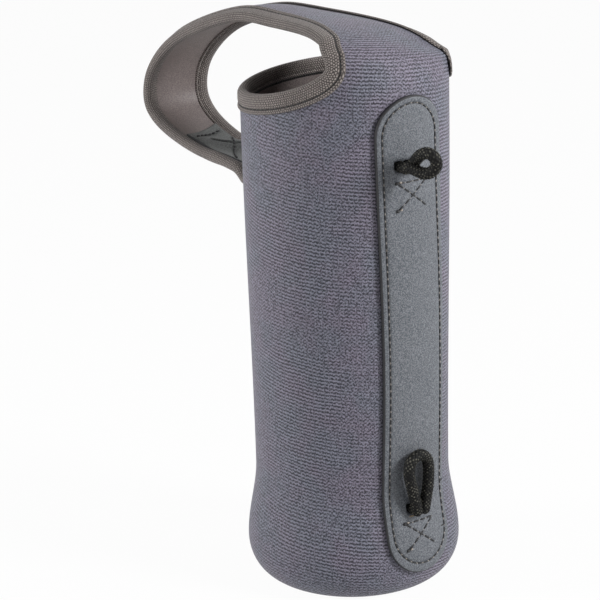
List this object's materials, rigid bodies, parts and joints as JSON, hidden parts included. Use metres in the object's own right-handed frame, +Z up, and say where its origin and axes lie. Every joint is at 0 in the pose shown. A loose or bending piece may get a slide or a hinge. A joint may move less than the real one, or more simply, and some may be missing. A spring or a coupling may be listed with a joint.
{
  "type": "vacuum flask case",
  "caption": "Soft foam-sheet sleeve for a slim vacuum flask, with a bound mouth, an arched carrying handle, a long leather front patch and cord loops.",
  "frame": {"origin": "centre of the base's underside, which the case stands on", "axes": "+Z up the sleeve; -Y is the front, with the leather patch and the handle's root; +Y is the back, where the handle's other end is sewn on"},
  "size_m": [0.0812, 0.1655, 0.2172],
  "materials": {
    "foam_sheet": "matt ribbed knit over foam",
    "edge_tape": "matt fine knit",
    "leather": "satin",
    "cord": "matt braid"
  },
  "bodies": {
    "case": {"sleeve_wall": "foam_sheet", "handle_strap": "foam_sheet", "base_disc": "foam_sheet", "rim_tape": "edge_tape", "handle_tape_left": "edge_tape", "handle_tape_right": "edge_tape", "front_patch": "leather", "handle_end_patch": "leather", "upper_cord_tail": "cord", "lower_cord_tail": "cord"},
    "upper_loop": {"upper_cord_loop": "cord"},
    "lower_loop": {"lower_cord_loop": "cord"}
  },
  "joints": [
    {"name": "upper_loop_swing", "type": "hinge", "parent": "case", "child": "upper_loop", "pos_m": [-0.00252, -0.04254, 0.168], "axis": [0.9983, -0.0591, 0], "range_deg": [-45, 85], "stiffness_Nm_per_rad": 0.002},
    {"name": "lower_loop_swing", "type": "hinge", "parent": "case", "child": "lower_loop", "pos_m": [-0.00106, -0.0419, 0.036], "axis": [0.9997, -0.0254, 0], "range_deg": [0, 150], "stiffness_Nm_per_rad": 0.002}
  ]
}
